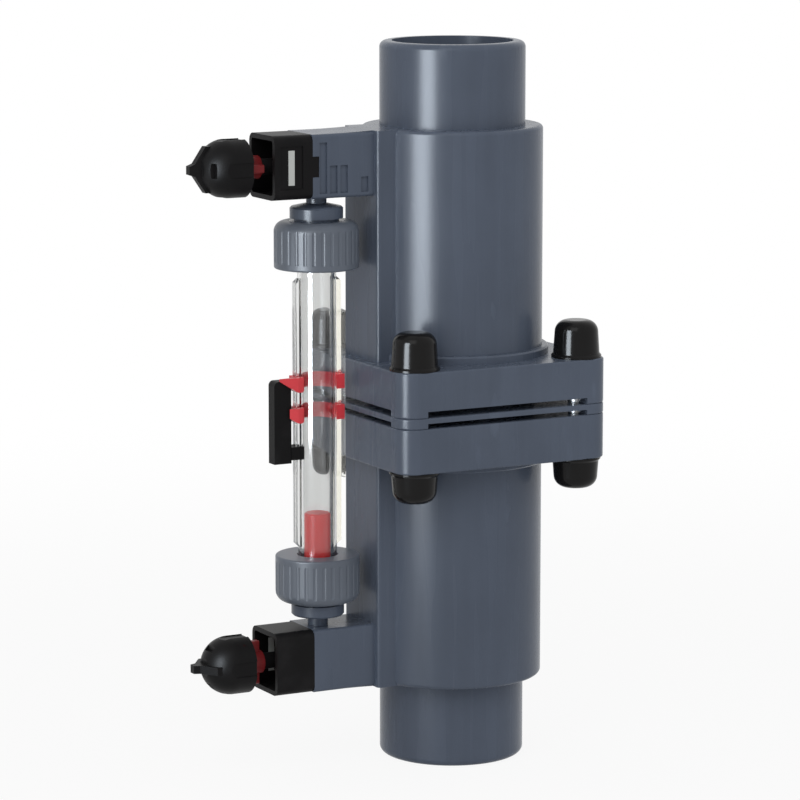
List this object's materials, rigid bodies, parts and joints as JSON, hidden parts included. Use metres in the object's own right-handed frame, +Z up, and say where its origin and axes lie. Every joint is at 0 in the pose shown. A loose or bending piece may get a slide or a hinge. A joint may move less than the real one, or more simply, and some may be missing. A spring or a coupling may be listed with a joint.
{
  "type": "bypass rotameter",
  "caption": "Bypass flow meter for a plastic pipe: two flanged halves round an orifice plate, side arms with shut-off knobs, and a clear tube with a red float.",
  "frame": {"origin": "centre of the lower (inlet) socket's mouth, on the axis of the main pipe", "axes": "+Z up along the main pipe with the flow, -X towards the arms and the measuring tube"},
  "size_m": [0.2516, 0.144, 0.448],
  "materials": {
    "grey_plastic": "smooth moulded grey plastic with a soft shine",
    "black_plastic": "satin black plastic",
    "black_cap": "glossy black plastic",
    "red_plastic": "glossy red plastic",
    "clear_plastic": "clear plastic",
    "black_rubber": "matt rubber",
    "zinc_steel": "zinc-plated steel",
    "light_plastic": "light grey plastic",
    "magnet_metal": "bare metal",
    "reed_glass": "glass"
  },
  "bodies": {
    "frame": {"flange_bolts": "zinc_steel", "flange_nuts": "zinc_steel", "flange_washers": "zinc_steel", "guide_strip": "black_plastic", "lower_body": "grey_plastic", "lower_bolt_cap_1": "black_cap", "lower_bolt_cap_2": "black_cap", "lower_bolt_cap_3": "black_cap", "lower_bolt_cap_4": "black_cap", "lower_flange_seal": "black_rubber", "lower_float_stop": "light_plastic", "lower_spigot_seal": "black_rubber", "lower_tube_fitting": "grey_plastic", "lower_tube_seal": "black_rubber", "lower_valve_housing": "black_plastic", "lower_window_strip": "light_plastic", "measuring_tube": "clear_plastic", "orifice_plate": "grey_plastic", "upper_body": "grey_plastic", "upper_bolt_cap_1": "black_cap", "upper_bolt_cap_2": "black_cap", "upper_bolt_cap_3": "black_cap", "upper_bolt_cap_4": "black_cap", "upper_flange_seal": "black_rubber", "upper_float_stop": "light_plastic", "upper_spigot_seal": "black_rubber", "upper_tube_fitting": "grey_plastic", "upper_tube_seal": "black_rubber", "upper_valve_housing": "black_plastic", "upper_window_strip": "light_plastic"},
    "lower_valve": {"lower_valve_plug": "black_plastic", "lower_plug_seals": "black_rubber", "lower_turn_indicator": "red_plastic", "lower_knob": "black_plastic"},
    "upper_valve": {"upper_valve_plug": "black_plastic", "upper_plug_seals": "black_rubber", "upper_turn_indicator": "red_plastic", "upper_knob": "black_plastic"},
    "float": {"flow_float": "red_plastic", "float_magnet": "magnet_metal", "float_plug": "red_plastic"},
    "lower_setpoint": {"lower_marker": "red_plastic"},
    "upper_setpoint": {"upper_marker": "red_plastic"},
    "limit_contact": {"contact_housing": "black_plastic", "contact_cover": "black_plastic", "reed_switch": "reed_glass"},
    "lower_nut": {"lower_union_nut": "grey_plastic"},
    "upper_nut": {"upper_union_nut": "grey_plastic"}
  },
  "joints": [
    {"name": "float_rise", "type": "slide", "parent": "frame", "child": "float", "axis": [0, 0, 1], "range_m": [0, 0.1595]},
    {"name": "lower_valve_turn", "type": "hinge", "parent": "frame", "child": "lower_valve", "pos_m": [-0.094, 0, 0.0717], "axis": [-1, 0, 0], "range_deg": [0, 90]},
    {"name": "upper_valve_turn", "type": "hinge", "parent": "frame", "child": "upper_valve", "pos_m": [-0.094, 0, 0.3763], "axis": [-1, 0, 0], "range_deg": [0, 90]},
    {"name": "lower_setpoint_slide", "type": "slide", "parent": "frame", "child": "lower_setpoint", "axis": [0, 0, 1], "range_m": [-0.014, 0.0045]},
    {"name": "upper_setpoint_slide", "type": "slide", "parent": "frame", "child": "upper_setpoint", "axis": [0, 0, 1], "range_m": [-0.0045, 0.029]},
    {"name": "limit_contact_slide", "type": "slide", "parent": "frame", "child": "limit_contact", "axis": [0, 0, 1], "range_m": [-0.05, 0]},
    {"name": "lower_nut_turn", "type": "hinge", "parent": "frame", "child": "lower_nut", "pos_m": [-0.094, 0, 0.12], "axis": [0, 0, 1], "range_deg": [0, 360]},
    {"name": "upper_nut_turn", "type": "hinge", "parent": "frame", "child": "upper_nut", "pos_m": [-0.094, 0, 0.328], "axis": [0, 0, -1], "range_deg": [0, 360]}
  ]
}
